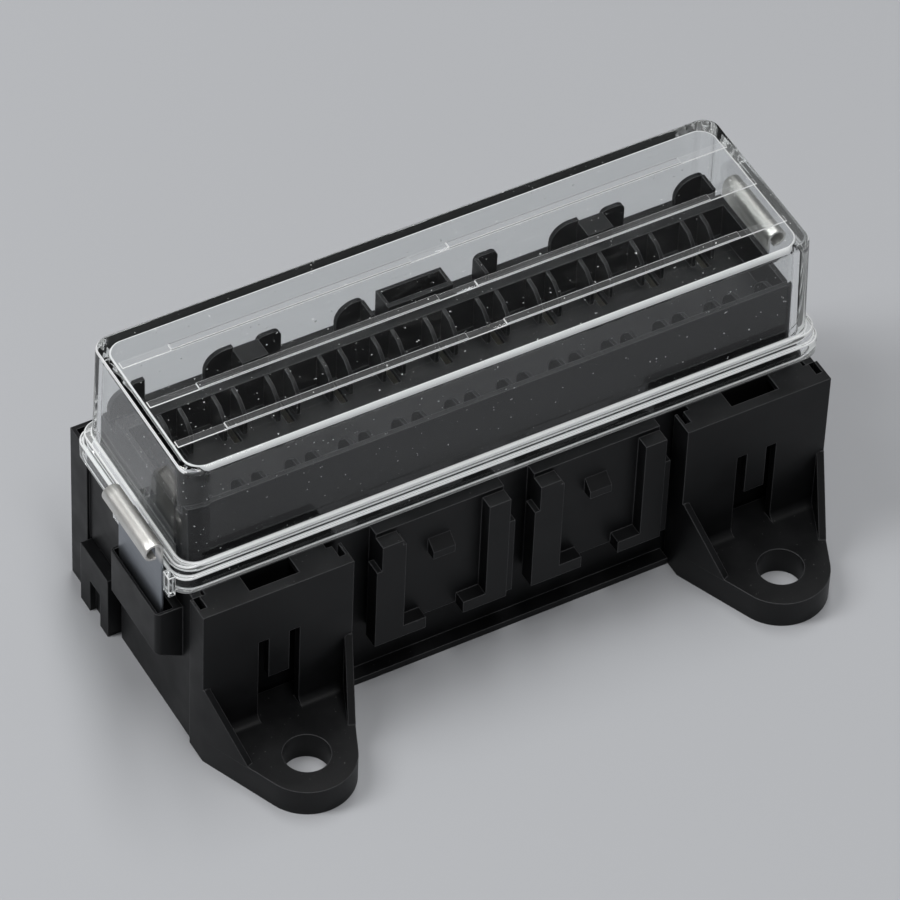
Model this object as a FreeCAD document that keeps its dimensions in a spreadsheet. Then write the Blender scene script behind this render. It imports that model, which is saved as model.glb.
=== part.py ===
import FreeCAD, Part
import math
import os
import re
import Sketcher
from FreeCAD import Placement, Rotation, Vector

# Blade fuse block: a moulded body with two rows of blade contacts, two clip-on feet,
# a clear cover and two spring clips. Millimetres, +Z up, length along X, feet to the front (-Y).
# The origin lies on the bottom plane, midway between the two fixing holes.

SIZES = [
    ("top_ledge", 33.2, "height of the ledge under the cover"),
    ("half_pitch", 42.9, "middle of the block to a fixing hole"),
    ("hole_radius", 3.85, "fixing hole"),
    ("ear_radius", 8.05, "rounded tip of a foot"),
    ("ear_thick", 5.2, "plate of a foot"),
    ("foot_half", 13.1, "half of a foot along the block"),
    ("foot_front", 10.0, "front of the feet from the fixing holes"),
    ("foot_wall", 1.5, "front plate of a foot"),
    ("foot_back", 14.4, "back of a foot's sides"),
    ("shelf_back", 15.4, "back of a foot's top plate"),
    ("foot_skin", 1.2, "side and top plates of a foot"),
    ("gusset_angle", 23.2, "slant of the ear's edges in degrees"),
    ("gusset_thick", 1.2, "gussets beside the ear"),
    ("gusset_top", 16.7, "gusset height on the foot's front"),
    ("gusset_reach", 9.0, "gusset length along the ear's edge"),
    ("ledge_radius", 1.5, "rounding between ear and front plate"),
    ("slot_middle", 0.2, "middle of the tongue from the fixing hole"),
    ("slot_inner", 1.8, "tongue half width"),
    ("slot_outer", 3.6, "slots' outer edges from the tongue's middle"),
    ("slot_top", 22.8, "top of the slots"),
    ("window_top", 14.0, "top of the window under the tongue"),
    ("hatch_low", 4.1, "hatch in a foot's top, left of the hole"),
    ("hatch_high", 4.5, "hatch in a foot's top, right of the hole"),
    ("hatch_front", 11.9, "front edge of the hatch"),
    ("niche_wide", 1.1, "niche beside each side plate"),
    ("niche_deep", 18.0, "depth of the niche"),
    ("end_face", 55.5, "end walls from the middle"),
    ("box_face", 56.0, "corner boxes from the middle"),
    ("box_front", 49.7, "front of the corner boxes"),
    ("box_inner", 50.4, "inner side of the corner boxes"),
    ("box_back", 55.3, "back of the corner boxes"),
    ("rear_wall", 51.4, "rear wall between the corner boxes"),
    ("wall", 1.6, "outer walls of the body"),
    ("front_wall", 15.4, "front wall, set back"),
    ("chamber_top", 28.0, "roof of the wire space"),
    ("notch_front", 38.8, "notch low in the left end wall"),
    ("notch_top", 13.6, "top of the notch"),
    ("lug_face", 57.4, "lug in the notch from the middle"),
    ("lug_front", 39.9, "front of the lug"),
    ("lug_back", 49.4, "back of the lug"),
    ("lug_top", 13.0, "top of the lug"),
    ("lug_slot", 3.6, "slot in the lug"),
    ("lug_slot_top", 7.2, "top of the slot in the lug"),
    ("panel_front", 13.4, "front of the panels between the rails"),
    ("panel_bottom", 10.2, "lower edge of the panels"),
    ("panel_left", -24.2, "left edge of the first panel"),
    ("panel_right", -1.5, "right edge of the first panel"),
    ("rail_pitch", 28.1, "between the two pairs of rails"),
    ("rail_front", 11.0, "face of the rails"),
    ("rail_top", 32.3, "top of the rails"),
    ("rail_wide", 3.6, "rail above its step"),
    ("rail_step", 27.0, "height of the rail's step"),
    ("rail_grow", 0.9, "growth of the rail below its step"),
    ("rail_bottom", 9.9, "bottom of the rails"),
    ("rail_span", 18.9, "between the two rails of a pair"),
    ("toe_reach", 4.0, "inward toe of a rail"),
    ("toe_high", 2.4, "height of the toe"),
    ("wedge_left", -14.8, "left side of the first catch"),
    ("wedge_right", -10.9, "right side of the first catch"),
    ("wedge_top", 27.6, "top of the catch on the panel"),
    ("wedge_nose", 26.1, "top of the catch at its nose"),
    ("wedge_low", 24.6, "underside of the catch"),
    ("wedge_reach", 1.9, "how far the catch stands out"),
    ("lip_high", 1.3, "lip along the bottom of the front"),
    ("lip_front", 12.9, "front of the lip"),
    ("lip_half", 29.7, "half length of the lip"),
    ("tray_end", 53.5, "ends of the raised tray from the middle"),
    ("tray_front", 19.5, "front of the tray"),
    ("tray_back", 47.0, "back of the tray"),
    ("tray_top", 48.3, "top of the tray's front wall"),
    ("cell_front", 20.4, "inner face of the front wall"),
    ("cell_back", 39.7, "front face of the ridge"),
    ("seat", 40.0, "floor that the fuses sit on"),
    ("ridge_top", 46.4, "top of the ridge"),
    ("ridge_back", 42.1, "back of the ridge"),
    ("deck", 43.4, "deck behind the ridge"),
    ("fuse_pitch", 9.333, "between fuses"),
    ("fuse_span", 46.665, "first fuse from the middle"),
    ("front_rib", 2.9, "front ribs from the fuse's middle"),
    ("rear_rib", 1.75, "rear ribs from the fuse's middle"),
    ("rib_thick", 0.7, "ribs"),
    ("rib_reach", 4.4, "reach of the ribs into the cell"),
    ("rib_drop", 2.1, "fall of the ribs along their reach"),
    ("blade_half", 6.95, "contacts from the middle of a fuse"),
    ("cell_middle", 30.05, "middle of the fuses"),
    ("slit_long", 5.6, "blade slit along the fuse"),
    ("slit_wide", 1.3, "blade slit across the fuse"),
    ("slit_floor", 39.2, "underside of the slit floor"),
    ("way_long", 5.8, "contact passage along the fuse"),
    ("way_wide", 2.9, "contact passage across the fuse"),
    ("tab_front", 45.2, "front face of the rear tabs"),
    ("tab_back", 46.0, "rear face of the tabs"),
    ("tab_top", 48.8, "top of the rear tabs"),
    ("tab_round", 3.4, "large rounding of a tab's outer corner"),
    ("tab_nick", 1.2, "small rounding of a tab's corner"),
    ("web_top", 48.4, "top of the bridge between two tabs"),
    ("first_tab", -37.6, "left edge of the first pair of tabs"),
    ("second_tab", 24.1, "left edge of the second pair of tabs"),
    ("tab_wide", 5.0, "width of a left tab"),
    ("bridge_wide", 4.4, "bridge between two tabs"),
    ("pair_wide", 13.4, "width of a pair of tabs"),
    ("end_tab_left", -53.0, "left edge of the tab at the left end"),
    ("end_tab_right", 52.3, "right edge of the tab at the right end"),
    ("third_tab", -14.5, "left edge of the tab left of the box"),
    ("fourth_tab", 10.3, "left edge of the tab right of the box"),
    ("fourth_wide", 4.1, "width of the tab right of the box"),
    ("tab_rib", 0.6, "ribs and walls between tabs and ridge"),
    ("box_left", -7.1, "left side of the box behind the ridge"),
    ("box_wide", 11.6, "width of the box behind the ridge"),
    ("clip_middle", 25.7, "middle of the left clip"),
    ("cover_middle", 33.0, "middle of the cover"),
    ("clip_half", 7.2, "half width of a clip"),
    ("clip_play", 0.3, "gap beside a clip"),
    ("leaf_inner", 58.45, "inner face of the leaf from the middle"),
    ("leaf_outer", 58.9, "outer face of the leaf"),
    ("leaf_low", 24.0, "lower end of the leaf"),
    ("roll_outer", 1.65, "rolled top, outer radius"),
    ("roll_inner", 1.2, "rolled top, inner radius"),
    ("roll_middle", 60.1, "middle of the roll from the middle of the block"),
    ("roll_height", 41.9, "height of the roll"),
    ("catch_low", 38.0, "lower end of the catch on the leaf"),
    ("catch_tip", 56.9, "tip of the catch from the middle"),
    ("catch_nose", 39.35, "height of the tip"),
    ("pocket_face", 60.1, "outer face of a clip pocket"),
    ("pocket_inner", 59.6, "inside of the pocket's outer wall"),
    ("pocket_root", 57.0, "inside of the pocket towards the block"),
    ("pocket_half", 8.0, "half width of a clip pocket"),
    ("pocket_high", 28.2, "top of a clip pocket"),
    ("pocket_floor", 23.4, "floor of a clip pocket"),
    ("pocket_low", 19.3, "underside of a clip pocket at its face"),
    ("pocket_foot", 16.8, "underside of a clip pocket at the wall"),
    ("cover_base", 33.3, "underside of the cover's flange"),
    ("flange_half", 57.6, "flange from the middle"),
    ("flange_front", 15.1, "front of the flange"),
    ("flange_back", 50.8, "back of the flange"),
    ("flange_tier", 36.6, "top of the flange's lower tier"),
    ("flange_top", 38.5, "top of the flange's upper tier"),
    ("tier_step", 0.5, "upper tier set in"),
    ("flange_round", 3.0, "upright corners of the flange"),
    ("shell_half", 55.9, "cover walls at the flange from the middle"),
    ("shell_front", 16.4, "cover wall at the flange, front"),
    ("shell_back", 50.1, "cover wall at the flange, back"),
    ("cover_top", 57.9, "top of the cover"),
    ("cover_draft", 1.4, "slope of the walls in degrees"),
    ("cover_edge", 1.0, "rounding around the top"),
    ("cover_wall", 1.6, "thickness of the cover"),
    ("fin_face", 58.75, "fins beside a clip from the middle"),
    ("fin_gap", 15.0, "between the two fins"),
    ("fin_thick", 1.3, "fins"),
    ("fin_top", 37.5, "top of the fins"),
    ("bead_half", 53.6, "half length of the beads on the cover"),
    ("bead_wide", 1.3, "width of a bead"),
    ("bead_high", 0.35, "height of a bead"),
    ("bead_pitch", 9.3, "between the beads"),
    ("contact_half", 2.6, "half width of a contact along the blade"),
    ("contact_base", 31.0, "underside of the contact's bridge"),
    ("contact_mouth", 39.2, "mouth of the contact"),
    ("contact_spread", 1.12, "outer face of a contact's leaf from its middle"),
    ("contact_grip", 0.37, "inner face of a leaf where it grips the blade"),
    ("contact_sheet", 0.35, "thickness of the contact's sheet"),
    ("neck_low", 24.0, "lower end of the contact's neck"),
    ("crimp_low", 18.5, "lower end of the crimp"),
]

doc = FreeCAD.newDocument("blade_fuse_block")
sheet = doc.addObject("Spreadsheet::Sheet", "sizes")
ALIASES = set()
for row, (alias, size, note) in enumerate(SIZES, start=1):
    sheet.set(f"A{row}", note)
    sheet.set(f"B{row}", str(size))
    sheet.setAlias(f"B{row}", alias)
    ALIASES.add(alias)
doc.recompute()

PLANES = {"x": "YZ_Plane", "y": "XZ_Plane", "z": "XY_Plane"}
NODES = []


def bound(text):
    """Writes an expression of aliases the way the sheet's cells are named."""
    def name(found):
        word = found.group(0)
        return "sizes." + word if word in ALIASES else word
    return re.sub(r"[a-z]+(?:_[a-z]+)*", name, str(text))


def new_body(label):
    """Starts one piece as a body of its own."""
    body = doc.addObject("PartDesign::Body", label)
    body.Label = label
    NODES.append(body)
    return body


def new_sketch(body, name, axis, level):
    """Puts a sketch square to an axis, at a level given by an expression."""
    plane = next(item for item in body.Origin.OriginFeatures if item.Role == PLANES[axis])
    sketch = body.newObject("Sketcher::SketchObject", name)
    sketch.AttachmentSupport = [(plane, "")]
    sketch.MapMode = "FlatFace"
    sign = "-1 * " if axis == "y" else ""
    sketch.setExpression("AttachmentOffset.Base.z", bound(f"{sign}({level})"))
    return sketch


def add_outline(sketch, corners):
    """Draws a closed outline whose corners are held at places given by expressions."""
    count = len(corners)
    first = sketch.GeometryCount
    dial = []
    for index in range(count):
        turn = 2.0 * math.pi * index / count + 0.3
        dial.append(Vector(10.0 * math.cos(turn), 10.0 * math.sin(turn), 0.0))
    lines = [Part.LineSegment(dial[index], dial[(index + 1) % count]) for index in range(count)]
    sketch.addGeometry(lines, False)
    joints = []
    for index in range(count):
        follower = first + (index + 1) % count
        joints.append(Sketcher.Constraint("Coincident", first + index, 2, follower, 1))
    sketch.addConstraint(joints)
    for index, (across, up) in enumerate(corners):
        places = (("DistanceX", across, dial[index].x), ("DistanceY", up, dial[index].y))
        for kind, text, start in places:
            held = Sketcher.Constraint(kind, -1, 1, first + index, 1, start)
            number = sketch.addConstraint(held)
            sketch.setExpression(f"Constraints[{number}]", bound(text))


def rectangle(left, right, low, high):
    """Gives the corners of an upright rectangle."""
    return [(left, low), (right, low), (right, high), (left, high)]


def add_prism(body, name, axis, low, high, *outlines, cut=False):
    """Adds or cuts the space swept by outlines between two levels along an axis."""
    from_high = cut != (axis == "y")
    sketch = new_sketch(body, name + "_sketch", axis, high if from_high else low)
    for corners in outlines:
        add_outline(sketch, corners)
    feature = body.newObject("PartDesign::Pocket" if cut else "PartDesign::Pad", name)
    feature.Profile = sketch
    feature.setExpression("Length", bound(f"({high}) - ({low})"))
    sketch.Visibility = False
    return feature


def add_row(body, name, features, pitch, count, role="X_Axis"):
    """Repeats features in a row along one of the body's axes."""
    axis = next(item for item in body.Origin.OriginFeatures if item.Role == role)
    pattern = body.newObject("PartDesign::LinearPattern", name)
    pattern.Originals = features
    pattern.Direction = (axis, [""])
    pattern.Occurrences = count
    pattern.setExpression("Length", bound(f"({pitch}) * {count - 1}"))
    body.Tip = pattern
    return pattern


def add_mirror(body, name, features, role="YZ_Plane"):
    """Repeats features on the other side of one of the body's planes."""
    plane = next(item for item in body.Origin.OriginFeatures if item.Role == role)
    mirror = body.newObject("PartDesign::Mirrored", name)
    mirror.Originals = features
    mirror.MirrorPlane = (plane, [""])
    body.Tip = mirror
    return mirror


def edge_names(feature, chosen):
    """Names the straight edges that a test on their two ends picks out."""
    names = []
    for number, edge in enumerate(feature.Shape.Edges, start=1):
        if len(edge.Vertexes) == 2 and chosen(edge.Vertexes[0].Point, edge.Vertexes[1].Point):
            names.append(f"Edge{number}")
    return names


def add_fillet(body, name, base, radius, chosen):
    """Rounds the chosen edges."""
    doc.recompute()
    names = edge_names(base, chosen)
    fillet = body.newObject("PartDesign::Fillet", name)
    fillet.Base = (base, names)
    fillet.setExpression("Radius", bound(radius))
    doc.recompute()
    return fillet


def cell(alias):
    """Reads one size back from the sheet."""
    return float(sheet.get(alias))


def upright(first, second):
    """Tells whether an edge stands upright."""
    return abs(first.x - second.x) < 0.01 and abs(first.y - second.y) < 0.01


# Body: outer block with a set-back front wall, corner boxes at the back and a raised tray.

block = new_body("fuse_body")
half_plan = [
    ("end_face", "foot_back"),
    ("end_face", "box_front"),
    ("box_face", "box_front"),
    ("box_face", "box_back"),
    ("box_inner", "box_back"),
    ("box_inner", "rear_wall"),
]
plan = [("-1 * end_face", "foot_back"), ("wall - end_face", "foot_back"), ("wall - end_face", "front_wall"),
        ("end_face - wall", "front_wall"), ("end_face - wall", "foot_back")]
plan += half_plan
plan += [(f"-1 * {across}", up) for across, up in reversed(half_plan[1:])]
add_prism(block, "block", "z", "0", "top_ledge", plan)
tray_profile = [
    ("tray_front", "top_ledge - 1"),
    ("tray_back", "top_ledge - 1"),
    ("tray_back", "deck"),
    ("ridge_back", "deck"),
    ("ridge_back", "ridge_top"),
    ("cell_back", "ridge_top"),
    ("cell_back", "seat"),
    ("cell_front", "seat"),
    ("cell_front", "tray_top"),
    ("tray_front", "tray_top"),
]
add_prism(block, "tray", "x", "-1 * tray_end", "tray_end", tray_profile)
for side, left, right in (("left", "-1 * tray_end", "0.9 - tray_end"), ("right", "tray_end - 0.9", "tray_end")):
    add_prism(block, f"tray_end_{side}", "x", left, right, rectangle("tray_front", "ridge_back", "top_ledge", "ridge_top"))

# Wire space, open at the bottom.
add_prism(block, "chamber", "z", "0", "chamber_top",
          rectangle("wall - end_face", "end_face - wall", "front_wall + wall", "rear_wall - wall"), cut=True)
add_prism(block, "box_hollow", "z", "0", "top_ledge - 2",
          rectangle("box_inner + 1.2", "box_face - 1.2", "box_front + 1.2", "box_back - 1.2"),
          rectangle("1.2 - box_face", "-1.2 - box_inner", "box_front + 1.2", "box_back - 1.2"), cut=True)

# Notch low in the left end wall, with a slotted lug standing in it.
add_prism(block, "end_notch", "z", "0", "notch_top",
          rectangle("-1 * end_face - 1", "-0.6 - end_face + wall", "notch_front", "box_front - 0.1"), cut=True)
add_prism(block, "lug", "z", "0", "lug_top",
          rectangle("-1 * lug_face", "wall - end_face - 0.3", "lug_front", "lug_back"))
add_prism(block, "lug_slot", "z", "0", "lug_slot_top",
          rectangle("-1 * lug_face - 1", "1.1 - lug_face", "lug_front + 2.7", "lug_front + 2.7 + lug_slot"), cut=True)
add_prism(block, "corner_notch", "z", "top_ledge - 5", "top_ledge",
          rectangle("0.7 - box_face", "3 - box_face", "box_back - 3.6", "box_back - 0.8"), cut=True)

# Two pairs of slide rails on the front, each with a panel and a catch between them.
panel = add_prism(block, "panel", "y", "panel_front", "front_wall",
                  rectangle("panel_left", "panel_right", "panel_bottom", "top_ledge"))
left_rail = [
    ("panel_left - rail_grow", "rail_bottom"),
    ("panel_left + rail_wide + 0.6 + toe_reach", "rail_bottom"),
    ("panel_left + rail_wide + 0.6 + toe_reach", "rail_bottom + toe_high"),
    ("panel_left + rail_wide + 0.6", "rail_bottom + toe_high"),
    ("panel_left + rail_wide + 0.6", "rail_top - 1"),
    ("panel_left + rail_wide", "rail_top - 1"),
    ("panel_left + rail_wide", "rail_top"),
    ("panel_left", "rail_top"),
    ("panel_left", "rail_step"),
    ("panel_left - rail_grow", "rail_step"),
]
right_rail = [
    ("panel_left + rail_span - toe_reach", "rail_bottom"),
    ("panel_right", "rail_bottom"),
    ("panel_right", "rail_step - 1"),
    ("panel_right", "rail_top"),
    ("panel_left + rail_span", "rail_top"),
    ("panel_left + rail_span", "rail_bottom + toe_high"),
    ("panel_left + rail_span - toe_reach", "rail_bottom + toe_high"),
]
rails = add_prism(block, "rails", "y", "rail_front", "panel_front + 0.5", left_rail, right_rail)
rail_flank = add_prism(block, "rail_flank", "y", "rail_front + 0.9", "front_wall",
                       rectangle("panel_right - 0.2", "panel_right + 1.5", "rail_bottom", "rail_step - 1"))
wedge_profile = [
    ("panel_front + 0.3", "wedge_low"),
    ("panel_front + 0.3", "wedge_top + 0.2"),
    ("panel_front", "wedge_top"),
    ("panel_front - wedge_reach", "wedge_nose"),
    ("panel_front - wedge_reach", "wedge_low"),
]
wedge = add_prism(block, "wedge", "x", "wedge_left", "wedge_right", wedge_profile)
add_row(block, "rail_pairs", [panel, rails, rail_flank, wedge], "rail_pitch", 2)
add_prism(block, "front_lip", "z", "0", "lip_high",
          rectangle("-1 * lip_half", "lip_half", "lip_front", "front_wall + 0.5"))

# Fuse positions: ribs, blade slits and contact passages, repeated along the block.
front_curve = [
    ("cell_front - 0.3", "seat - 0.3"),
    ("cell_front + rib_reach", "seat - 0.3"),
    ("cell_front + rib_reach", "tray_top - rib_drop - 1.6"),
    ("cell_front + rib_reach - 0.7", "tray_top - rib_drop - 0.3"),
    ("cell_front + rib_reach - 2.2", "tray_top - 0.9"),
    ("cell_front", "tray_top - 0.4"),
    ("cell_front - 0.3", "tray_top - 0.4"),
]
rear_curve = [
    ("cell_back + 0.3", "seat - 0.3"),
    ("cell_back + 0.3", "ridge_top - 0.2"),
    ("cell_back", "ridge_top - 0.2"),
    ("cell_back - rib_reach + 2.2", "ridge_top - 0.6"),
    ("cell_back - rib_reach + 0.7", "ridge_top - rib_drop + 0.3"),
    ("cell_back - rib_reach", "ridge_top - rib_drop - 1"),
    ("cell_back - rib_reach", "seat - 0.3"),
]
ribs = []
for name, offset, curve in (("front_rib_a", "-1 * front_rib", front_curve), ("front_rib_b", "front_rib", front_curve),
                            ("rear_rib_a", "-1 * rear_rib", rear_curve), ("rear_rib_b", "rear_rib", rear_curve)):
    low = f"{offset} - fuse_span - rib_thick / 2"
    high = f"{offset} - fuse_span + rib_thick / 2"
    ribs.append(add_prism(block, name, "x", low, high, curve))
slits = []
passages = []
for side in ("-1", "1"):
    middle = f"cell_middle + {side} * blade_half"
    slits.append(rectangle("-1 * fuse_span - slit_wide / 2", "slit_wide / 2 - fuse_span",
                           f"{middle} - slit_long / 2", f"{middle} + slit_long / 2"))
    passages.append(rectangle("-1 * fuse_span - way_wide / 2", "way_wide / 2 - fuse_span",
                              f"{middle} - way_long / 2", f"{middle} + way_long / 2"))
slit = add_prism(block, "blade_slits", "z", "slit_floor - 0.2", "seat", *slits, cut=True)
passage = add_prism(block, "contact_passages", "z", "chamber_top - 0.5", "slit_floor", *passages, cut=True)
add_row(block, "fuse_row", ribs + [slit, passage], "fuse_pitch", 11)

# Tabs behind the ridge: two pairs joined by a bridge, single tabs with a rib, and an open box.
tab_edges = [
    ("end_tab_left", "end_tab_left + tab_wide"),
    ("first_tab", "first_tab + tab_wide"),
    ("first_tab + tab_wide + bridge_wide - 0.2", "first_tab + pair_wide"),
    ("third_tab", "third_tab + tab_wide"),
    ("fourth_tab", "fourth_tab + fourth_wide"),
    ("second_tab", "second_tab + tab_wide"),
    ("second_tab + tab_wide + bridge_wide - 0.2", "second_tab + pair_wide"),
    ("end_tab_right - tab_wide - 0.4", "end_tab_right"),
]
tabs = [rectangle(left, right, "deck - 0.3", "tab_top") for left, right in tab_edges]
tab_row = add_prism(block, "rear_tabs", "y", "tab_front", "tab_back", *tabs)
crown_tabs = cell("tab_top")
wide_tab = cell("tab_wide")
large = [cell("end_tab_left"), cell("first_tab"), cell("third_tab"), cell("second_tab"),
         cell("end_tab_right") - wide_tab - 0.4]
bridge = wide_tab + cell("bridge_wide") - 0.2
small = [cell("first_tab") + bridge, cell("first_tab") + cell("pair_wide"), cell("third_tab") + wide_tab,
         cell("fourth_tab"), cell("fourth_tab") + cell("fourth_wide"), cell("second_tab") + bridge,
         cell("second_tab") + cell("pair_wide"), cell("end_tab_right")]


def tab_corner(spots):
    """Gives a test for the top corners of the tabs that stand at some places along the block."""
    def chosen(a, b):
        crest = abs(a.z - crown_tabs) < 0.01 and abs(b.z - crown_tabs) < 0.01
        along = abs(a.x - b.x) < 0.01 and abs(a.y - b.y) > 0.1
        return crest and along and any(abs(a.x - spot) < 0.02 for spot in spots)
    return chosen


big_round = add_fillet(block, "tab_rounds", tab_row, "tab_round", tab_corner(large))
add_fillet(block, "tab_nicks", big_round, "tab_nick", tab_corner(small))
for label, left in (("first", "first_tab"), ("second", "second_tab")):
    add_prism(block, f"bridge_{label}", "z", "deck - 0.3", "web_top",
              rectangle(f"{left} + tab_wide - 0.2", f"{left} + tab_wide + bridge_wide",
                        "ridge_back - 0.3", "tab_front + 0.3"))
add_prism(block, "tab_ribs", "z", "deck - 0.3", "web_top",
          rectangle("third_tab + tab_wide - tab_rib", "third_tab + tab_wide", "ridge_back - 0.3", "tab_front + 0.3"),
          rectangle("fourth_tab", "fourth_tab + tab_rib", "ridge_back - 0.3", "tab_front + 0.3"),
          rectangle("end_tab_right - tab_rib", "end_tab_right", "ridge_back - 0.3", "tab_front + 0.3"))
tab_box = add_prism(block, "tab_box", "z", "deck - 0.3", "tab_top",
                    rectangle("box_left", "box_left + box_wide", "ridge_back - 0.3", "tab_back"))
add_prism(block, "tab_box_hollow", "z", "deck + 0.6", "tab_top",
          rectangle("box_left + tab_rib", "box_left + box_wide - tab_rib",
                    "ridge_back + tab_rib", "tab_back - tab_rib"), cut=True)

# Clip pockets on the two ends, half a turn apart about the middle of the cover.
for name, sign, middle in (("left", "-1", "clip_middle"), ("right", "1", "2 * cover_middle - clip_middle")):
    skirt = [
        (f"{sign} * (end_face - 1)", "pocket_foot - 0.5"),
        (f"{sign} * end_face", "pocket_foot"),
        (f"{sign} * pocket_face", "pocket_low"),
        (f"{sign} * pocket_face", "pocket_high"),
        (f"{sign} * (end_face - 1)", "pocket_high"),
    ]
    add_prism(block, f"pocket_{name}", "y", f"{middle} - pocket_half", f"{middle} + pocket_half", skirt)
    add_prism(block, f"pocket_slot_{name}", "z", "pocket_floor", "pocket_high",
              rectangle(f"{sign} * pocket_root", f"{sign} * pocket_inner",
                        f"{middle} - clip_half - clip_play", f"{middle} + clip_half + clip_play"), cut=True)
last = block.Tip
corners = (cell("pocket_face"), cell("pocket_high"))
add_fillet(block, "pocket_corners", last, "0.9",
           lambda a, b: upright(a, b) and abs(abs(a.x) - corners[0]) < 0.01 and max(a.z, b.z) > corners[1] - 0.01)


# Foot: a boxed front with a pierced ear, two gussets and a snap tongue. Its origin is the hole.

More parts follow.
